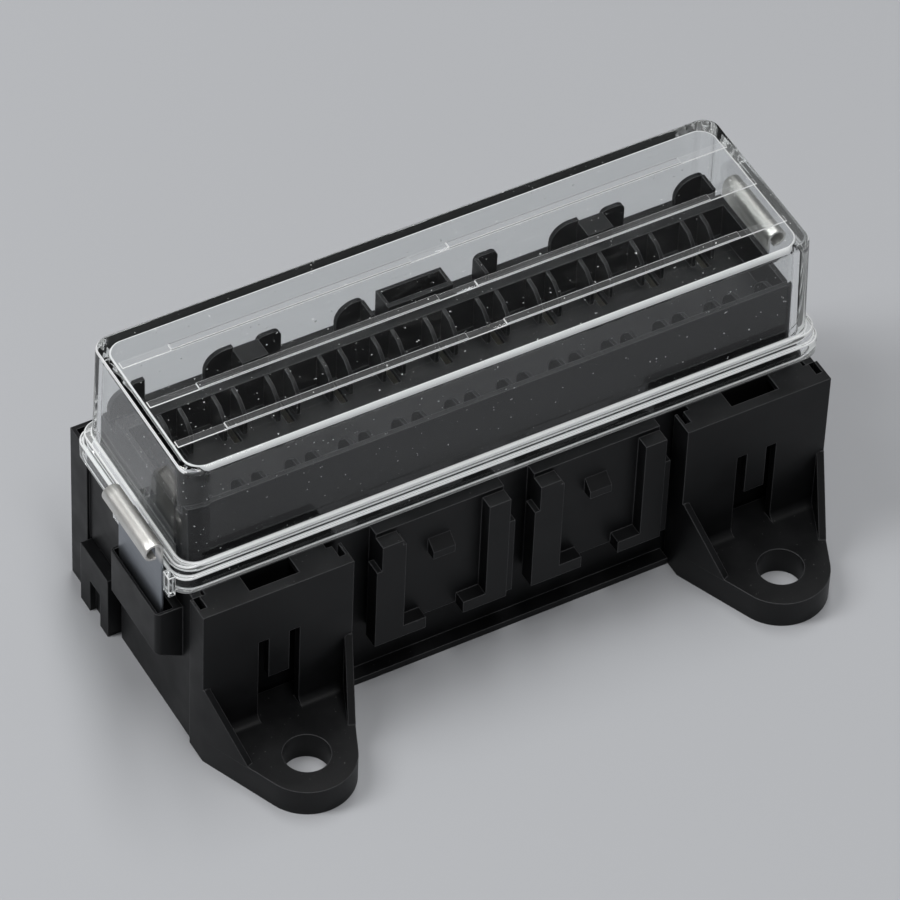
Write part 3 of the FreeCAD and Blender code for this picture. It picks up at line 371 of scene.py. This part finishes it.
def satin_metal(name, colour, roughness, stretch, painted_shade_below=None):
    """Satin metal with fine lines along one direction, and a painted shade below a height where one is given.
    """
    ready = bpy.data.materials.get(name)
    if ready:
        return ready
    material, nodes, links, shader = new_material(name)
    shader.inputs["Metallic"].default_value = 1.0

    # Faint clouds, and where a height is given a painted shade below it, for the dark surroundings that the
    # foot reflects.
    colour = tuple(colour)
    cloud_colour = tuple(0.82 * part for part in colour)
    clouds = add_noise(nodes, links, scale=220.0)
    cloud_share = add_range(nodes, links, clouds, (0.35, 0.7), (0.0, 1.0))
    tone = add_mix(nodes, links, cloud_share, colour, cloud_colour)
    if painted_shade_below:
        painted_shade_grey = (0.30, 0.32, 0.35)
        fade = 2.0 * MM
        place = nodes.new("ShaderNodeTexCoord")
        split = nodes.new("ShaderNodeSeparateXYZ")
        links.new(place.outputs["Object"], split.inputs["Vector"])
        painted_shade_share = add_range(nodes, links, split.outputs["Z"], (painted_shade_below - fade, painted_shade_below), (1.0, 0.0))
        tone = add_mix(nodes, links, painted_shade_share, tone, painted_shade_grey)
    links.new(tone, shader.inputs["Base Color"])

    # Fine lines from rolling, which change the shine and stand out a little.
    lines = add_noise(nodes, links, scale=3000.0, stretch=stretch)
    links.new(add_range(nodes, links, lines, (0.3, 0.7), roughness), shader.inputs["Roughness"])
    bump = add_bump(nodes, links, lines, strength=0.12, depth=0.01 * MM)
    links.new(bump.outputs["Normal"], shader.inputs["Normal"])
    return material


# Black pieces

class OBJECT_OT_fuse_body(bpy.types.Operator):
    """Builds the black body from its solid."""
    bl_idname = "object.fuse_body"
    bl_label = "Fuse body"

    def execute(self, context):
        bm = merged_copy("fuse_body")
        keep_piece("moulded_body", bm, "block", (black_plastic(),), nodes=("fuse_body",))
        return {"FINISHED"}


class OBJECT_OT_fuse_feet(bpy.types.Operator):
    """Builds both feet from their solids."""
    bl_idname = "object.fuse_feet"
    bl_label = "Feet"

    def execute(self, context):
        for side in SIDES:
            name = f"foot_{side}"
            bm = merged_copy(name)
            keep_piece(f"moulded_{name}", bm, "block", (black_plastic(),), nodes=(name,))
        return {"FINISHED"}


# Clear cover

def spread(loop, across, along, rise):
    """Moves each quarter of a closed loop outward by the same step, so that its corners keep their radius."""
    for vertex in loop:
        vertex.co.x += across * math.copysign(1.0, vertex.co.x)
        vertex.co.y += along * math.copysign(1.0, vertex.co.y - COVER_MIDDLE)
        vertex.co.z += rise


def rim_edges(bm):
    """Gives the open edges of a mesh."""
    return [edge for edge in bm.edges if edge.is_boundary]


def draw_wall(bm, across, along, rise):
    """Draws a wall from the open rim to a new rim, which lies one step further."""
    made = bmesh.ops.extrude_edge_only(bm, edges=rim_edges(bm))["geom"]
    spread(pick(made, bmesh.types.BMVert), across, along, rise)


def cut_top(bm, place, direction):
    """Cuts the cover's top along a plane."""
    faces = [face for face in bm.faces if face.normal.z > LEVEL]
    edges = {edge for face in faces for edge in face.edges}
    corners = {vertex for face in faces for vertex in face.verts}
    bmesh.ops.bisect_plane(bm, geom=[*faces, *edges, *corners], plane_co=place, plane_no=direction)


def raise_faces(bm, faces, rise):
    """Raises a patch of faces with walls round it and gives the raised faces."""
    made = bmesh.ops.extrude_face_region(bm, geom=faces)["geom"]
    bmesh.ops.delete(bm, geom=faces, context="FACES_ONLY")
    bmesh.ops.translate(bm, vec=(0.0, 0.0, rise), verts=pick(made, bmesh.types.BMVert))
    bm.normal_update()
    return pick(made, bmesh.types.BMFace)


def cover_shell(sizes):
    """Draws the outer shell down to the flange: drafted walls, rounded uprights and a rounded top edge."""
    bm = bmesh.new()
    corners = add_block(bm, (-WALL_HALF, WALL_FRONT, SHELF), (WALL_HALF, WALL_BACK, COVER_TOP))
    upper = [vertex for vertex in corners if vertex.co.z > (SHELF + COVER_TOP) / 2]
    spread(upper, -DRAFT, -DRAFT, 0.0)
    uprights = [edge for edge in bm.edges if (edge.verts[0] in upper) != (edge.verts[1] in upper)]
    round_edges(bm, uprights, sizes.corner, segments=12)
    underside = [face for face in bm.faces if face.calc_center_median().z < SHELF + NEAR]
    bmesh.ops.delete(bm, geom=underside, context="FACES_ONLY")
    ring = [edge for edge in bm.edges if all(vertex.co.z > COVER_TOP - NEAR for vertex in edge.verts)]
    round_edges(bm, ring, sizes.crown, segments=6)
    return bm


def cover_beads(bm):
    """Raises three beads from the top, lower over the ends and the middle than in between."""
    for line in BEAD_LINES:
        for side in (line - BEAD_HALF, line + BEAD_HALF):
            cut_top(bm, (0.0, side, 0.0), (0.0, 1.0, 0.0))
    for stop in (HIGH_BEAD_START, HIGH_BEAD_END, BEAD_END):
        for side in (-stop, stop):
            cut_top(bm, (side, 0.0, 0.0), (1.0, 0.0, 0.0))
    runs = []
    for face in bm.faces:
        spot = face.calc_center_median()
        on_line = any(abs(spot.y - line) < BEAD_HALF for line in BEAD_LINES)
        if face.normal.z > LEVEL and abs(spot.x) < BEAD_END and on_line:
            runs.append(face)
    raised = raise_faces(bm, runs, BEAD_RISE)
    high = [face for face in raised if HIGH_BEAD_START < abs(face.calc_center_median().x) < HIGH_BEAD_END]
    raise_faces(bm, high, BEAD_SECOND_RISE)


def cover_flange(bm, wall):
    """Draws the flange, the rim and the inner walls from rim to rim, then closes the ceiling."""
    upper_end, upper_side = 1.2 * MM, 0.5 * MM
    lower_end, lower_side = 0.5 * MM, 0.6 * MM
    steps = (
        (upper_end, upper_side, 0.0),
        (0.0, 0.0, TIER_TOP - SHELF),
        (lower_end, lower_side, 0.0),
        (0.0, 0.0, RIM_FOOT - TIER_TOP),
        (-wall, -wall, 0.0),
        (0.0, 0.0, SHELF - wall - RIM_FOOT),
        (-upper_end - lower_end, -upper_side - lower_side, 0.0),
        (-DRAFT, -DRAFT, COVER_TOP - SHELF),
    )
    for across, along, rise in steps:
        draw_wall(bm, across, along, rise)
    bmesh.ops.holes_fill(bm, edges=rim_edges(bm), sides=0)
    bmesh.ops.recalc_face_normals(bm, faces=bm.faces)


def cover_finishes(sizes):
    """Gives the cover's four finishes in the order of their places: clear, painted highlight on edges,
    painted highlight on the flange, and hazed for a painted sheen.
    """
    return (clear_plastic("clear moulded plastic", clearness=1.0, shine=0.2),
            clear_plastic("clear plastic with painted edge highlight", clearness=sizes.edges, shine=0.9),
            clear_plastic("clear plastic with painted flange highlight", clearness=0.8, shine=0.9),
            clear_plastic("clear plastic hazed for a painted sheen", clearness=0.94, shine=0.5))


def mark_faces(bm, crown):
    """Gives each face of the cover the finish for its place."""
    square = 0.9
    halfway = 0.5
    for face in bm.faces:
        spot = face.calc_center_median()
        slope = face.normal
        # The crest is the fourth strip down the rounded top edge, apart from its run along the front.
        crest = spot.z > COVER_TOP - crown and 0.40 < slope.z < 0.66 and slope.y > -halfway
        bead_side = spot.z > COVER_TOP and abs(slope.z) < halfway
        bead_top = spot.z > COVER_TOP + NEAR and slope.z > square
        ledge = spot.z < SHELF + NEAR and abs(slope.z) > square
        outer_back = slope.y > square and spot.y > COVER_MIDDLE
        outer_right = slope.x > square and spot.x > 0.0
        # Edges and bead sides get a painted highlight.
        if crest or bead_side:
            face.material_index = EDGE
        # The flange's ledges get a painted highlight.
        if ledge:
            face.material_index = FLANGE
        # Bead tops and the outer back and right walls are hazed for a painted sheen.
        if bead_top or spot.z > SHELF and (outer_back or outer_right):
            face.material_index = PAINTED_SHEEN


def soften_cover(bm, wall):
    """Rounds the sharp edges in bands of height, because the low beads would hold back one pass over all."""
    # Each band has its lower end, its upper end and its rounding.
    bands = (
        (RIM_FOOT - wall, TIER_TOP + wall, 0.3 * MM),
        (TIER_TOP + wall, SHELF + wall, 0.3 * MM),
        (COVER_TOP - 1.5 * wall, COVER_TOP - 0.5 * wall, 0.28 * MM),
        (COVER_TOP - 0.5 * wall, COVER_TOP + wall, 0.2 * MM),
    )
    sharp = math.radians(50.0)
    for low, high, rounding in bands:
        edges = [edge for edge in bm.edges if edge.calc_face_angle(0.0) > sharp
                 and all(low < vertex.co.z < high for vertex in edge.verts)]
        # The rounded strips get the finish with a painted highlight.
        for face in round_edges(bm, edges, rounding, segments=3):
            face.material_index = EDGE
    # Rounded strips are shaded smooth, and the large walls and the level faces stay flat.
    small = 9.0 * MM * MM
    for face in bm.faces:
        face.smooth = face.calc_area() < small or 0.05 < abs(face.normal.z) < 0.97


def cover_fins():
    """Draws a fin on each side of each clip."""
    rounding = 0.15 * MM
    bm = bmesh.new()
    for side, sign in SIDES.items():
        low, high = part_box(f"clip_{side}")
        middle = (low.y + high.y) / 2
        for turn in (-1.0, 1.0):
            across = sorted((sign * FIN_INNER, sign * FIN_OUTER))
            along = sorted((middle + turn * FIN_NEAR, middle + turn * FIN_FAR))
            add_block(bm, *zip(across, along, (RIM_FOOT, FIN_TOP)))
    # The fins' rounded edges get the finish with a painted highlight.
    for face in round_edges(bm, bm.edges, rounding, segments=2):
        face.material_index = EDGE
    return bm


class OBJECT_OT_fuse_cover(bpy.types.Operator):
    """Builds the clear cover: a drafted shell on a two-tier flange, with beads and fins."""
    bl_idname = "object.fuse_cover"
    bl_label = "Clear cover"

    def execute(self, context):
        sizes = context.scene.fuse_cover
        finishes = cover_finishes(sizes)
        bm = cover_shell(sizes)
        cover_beads(bm)
        cover_flange(bm, sizes.wall)
        mark_faces(bm, sizes.crown)
        soften_cover(bm, sizes.wall)
        keep_piece("clear_cover", bm, "cover", finishes, nodes=("cover",), sharp=None)
        keep_piece("cover_fins", cover_fins(), "cover", finishes)
        return {"FINISHED"}


# Metal pieces

def runs_across(edge):
    """Tells whether an edge runs straight across a clip's strip."""
    step = edge.verts[0].co - edge.verts[1].co
    return abs(step.x) + abs(step.z) < 0.001 * MM


def clip_strip(half, foot):
    """Draws a right-hand clip's strip: up the leaf, in and out for the catch, then round the roll."""
    halves = (half, CATCH_HALF + CATCH_SLOPE, CATCH_HALF - CATCH_SLOPE)
    columns = [-part for part in halves] + [part for part in reversed(halves)]
    rows = ((LEAF, CATCH_LOW), (CATCH_TIP, CATCH_HEIGHT), (LEAF, CATCH_HIGH), (LEAF, ROLL_CENTRE[2]))
    roll = math.radians(290.0)
    sharp = math.radians(20.0)
    rounding = 0.35 * MM
    bm = bmesh.new()
    points = [bm.verts.new((LEAF, column, foot)) for column in columns]
    strip = [bm.edges.new(pair) for pair in zip(points, points[1:])]
    for across, height in rows:
        made = bmesh.ops.extrude_edge_only(bm, edges=strip)["geom"]
        points = pick(made, bmesh.types.BMVert)
        for point in points:
            point.co.x = across if abs(point.co.y) < CATCH_HALF else LEAF
            point.co.z = height
        edges = pick(made, bmesh.types.BMEdge)
        strip = [edge for edge in edges if all(vertex in points for vertex in edge.verts)]
    bmesh.ops.spin(bm, geom=[*strip, *points], cent=ROLL_CENTRE, axis=(0.0, 1.0, 0.0), dvec=(0.0, 0.0, 0.0),
                   angle=roll, steps=30)
    bends = [edge for edge in bm.edges if runs_across(edge) and edge.calc_face_angle(0.0) > sharp]
    round_edges(bm, bends, rounding, segments=4)
    bmesh.ops.recalc_face_normals(bm, faces=bm.faces)
    return bm


def thicken_sheet(piece, thickness):
    """Gives a strip its thickness and softens its cut edges."""
    sheet = piece.modifiers.new("sheet", "SOLIDIFY")
    sheet.thickness = thickness
    sheet.offset = 0.0
    edges = piece.modifiers.new("edges", "BEVEL")
    edges.width = 0.06 * MM
    edges.segments = 2
    edges.limit_method = "ANGLE"
    edges.angle_limit = math.radians(50.0)


class OBJECT_OT_fuse_clips(bpy.types.Operator):
    """Builds the two spring clips, half a turn apart, from a bent and rolled strip."""
    bl_idname = "object.fuse_clips"
    bl_label = "Spring clips"

    def execute(self, context):
        sizes = context.scene.fuse_metal
        along_roll = (1.0, 0.05, 1.0)
        # The clips get a painted shade below 40.6 mm.
        steel = satin_metal("satin spring steel", sizes.steel, roughness=(0.40, 0.50), stretch=along_roll,
                            painted_shade_below=40.6 * MM)
        for side in SIDES:
            low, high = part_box(f"clip_{side}")
            bm = clip_strip((high.y - low.y) / 2, low.z)
            turn = Matrix.Translation((0.0, (low.y + high.y) / 2, 0.0))
            if side == "left":
                turn = turn @ Matrix.Rotation(math.pi, 4, "Z")
            bmesh.ops.transform(bm, matrix=turn, verts=bm.verts)
            name = f"clip_{side}"
            piece = keep_piece(f"spring_{name}", bm, name, (steel,), nodes=(name,),
                               sharp=40.0)
            thicken_sheet(piece, sizes.sheet)
        return {"FINISHED"}


class OBJECT_OT_fuse_contacts(bpy.types.Operator):
    """Gives the blade contacts their tinned finish."""
    bl_idname = "object.fuse_contacts"
    bl_label = "Contacts"

    def execute(self, context):
        upright = (1.0, 1.0, 0.06)
        colour = context.scene.fuse_metal.tinned
        tinned = satin_metal("tinned contact metal", colour, roughness=(0.25, 0.42), stretch=upright)
        for name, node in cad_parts.items():
            if name.startswith("contact_"):
                node.data.materials.clear()
                node.data.materials.append(tinned)
        return {"FINISHED"}


# Stage

def add_floor(scene, colour):
    """Lays a plain matt floor."""
    bm = bmesh.new()
    bmesh.ops.create_grid(bm, x_segments=1, y_segments=1, size=3.0)
    mesh = bpy.data.meshes.new("floor")
    bm.to_mesh(mesh)
    bm.free()
    material, nodes, links, shader = new_material("plain floor")
    shader.inputs["Base Color"].default_value = (*colour, 1.0)
    shader.inputs["Roughness"].default_value = 0.85
    mesh.materials.append(material)
    floor = bpy.data.objects.new("floor", mesh)
    scene.collection.objects.link(floor)


def add_room_light(scene):
    """Lights the room softly from all sides."""
    world = bpy.data.worlds.new("soft room")
    world.use_nodes = True
    room = world.node_tree.nodes["Background"]
    room.inputs["Color"].default_value = (0.95, 0.97, 1.0, 1.0)
    room.inputs["Strength"].default_value = 0.13
    scene.world = world


def add_lamp(scene, name, place, size, power):
    """Hangs a flat lamp that shines on the middle of the block."""
    aim = Vector((0.0, 0.03, 0.03))
    place = Vector(place)
    data = bpy.data.lights.new(name, "AREA")
    data.shape = "RECTANGLE"
    data.size, data.size_y = size
    data.energy = power
    lamp = bpy.data.objects.new(name, data)
    lamp.location = place
    lamp.rotation_euler = (aim - place).to_track_quat("-Z", "Y").to_euler()
    scene.collection.objects.link(lamp)


def add_camera(scene):
    """Sets the camera by its place and by the directions of its right, up and back."""
    place = (-0.37003, -0.58987, 0.78944)
    right = (0.87576, -0.48173, 0.03133)
    up = (0.33180, 0.64779, 0.68577)
    back = (-0.35066, -0.59017, 0.72714)
    data = bpy.data.cameras.new("camera")
    data.lens = 265.79
    data.sensor_width = 36.0
    data.clip_start, data.clip_end = 0.05, 20.0
    camera = bpy.data.objects.new("camera", data)
    camera.matrix_world = Matrix.Translation(place) @ Matrix((right, up, back)).transposed().to_4x4()
    scene.collection.objects.link(camera)
    scene.camera = camera


class OBJECT_OT_fuse_stage(bpy.types.Operator):
    """Sets the floor, the lamps and the camera."""
    bl_idname = "object.fuse_stage"
    bl_label = "Stage"

    def execute(self, context):
        scene = context.scene
        sizes = scene.fuse_stage
        add_floor(scene, sizes.floor)
        add_room_light(scene)
        front = 0.15 * sizes.fill
        add_lamp(scene, "main lamp", place=(0.10, 0.0, 1.15), size=(1.5, 0.22), power=sizes.key)
        add_lamp(scene, "left lamp", place=(-0.62, 0.22, 0.82), size=(0.25, 0.7), power=sizes.fill)
        add_lamp(scene, "front lamp", place=(-0.25, -0.95, 0.42), size=(0.9, 0.12), power=front)
        add_camera(scene)
        scene.view_settings.view_transform = "Standard"
        return {"FINISHED"}


# Add-on

class VIEW3D_PT_fuse_block(bpy.types.Panel):
    """Lists the sizes, the colours and the steps."""
    bl_label = "Fuse block"
    bl_idname = "VIEW3D_PT_fuse_block"
    bl_space_type = "VIEW_3D"
    bl_region_type = "UI"
    bl_category = "Fuse block"

    def draw(self, context):
        layout = self.layout
        for group in SETTINGS:
            box = layout.box()
            settings = getattr(context.scene, group)
            for item in settings.bl_rna.properties:
                if not item.is_readonly and item.identifier != "name":
                    box.prop(settings, item.identifier)
        for step in STEPS:
            layout.operator(f"object.{step}")


SETTINGS = {
    "fuse_moulded": MouldedSizes,
    "fuse_cover": CoverSizes,
    "fuse_metal": MetalSizes,
    "fuse_stage": StageSizes,
}
STEPS = ("fuse_body", "fuse_feet", "fuse_cover", "fuse_clips", "fuse_contacts", "fuse_stage")
CLASSES = (*SETTINGS.values(), OBJECT_OT_fuse_body, OBJECT_OT_fuse_feet, OBJECT_OT_fuse_cover,
           OBJECT_OT_fuse_clips, OBJECT_OT_fuse_contacts, OBJECT_OT_fuse_stage, VIEW3D_PT_fuse_block)


def register():
    """Adds the classes and the settings to Blender."""
    for item in CLASSES:
        bpy.utils.register_class(item)
    for name, group in SETTINGS.items():
        setattr(bpy.types.Scene, name, bpy.props.PointerProperty(type=group))


def unregister():
    """Takes the classes and the settings out again."""
    for name in SETTINGS:
        delattr(bpy.types.Scene, name)
    for item in reversed(CLASSES):
        bpy.utils.unregister_class(item)


def main():
    """Builds every piece and the stage."""
    register()
    for step in STEPS:
        getattr(bpy.ops.object, step)()


if __name__ == "__main__":
    main()
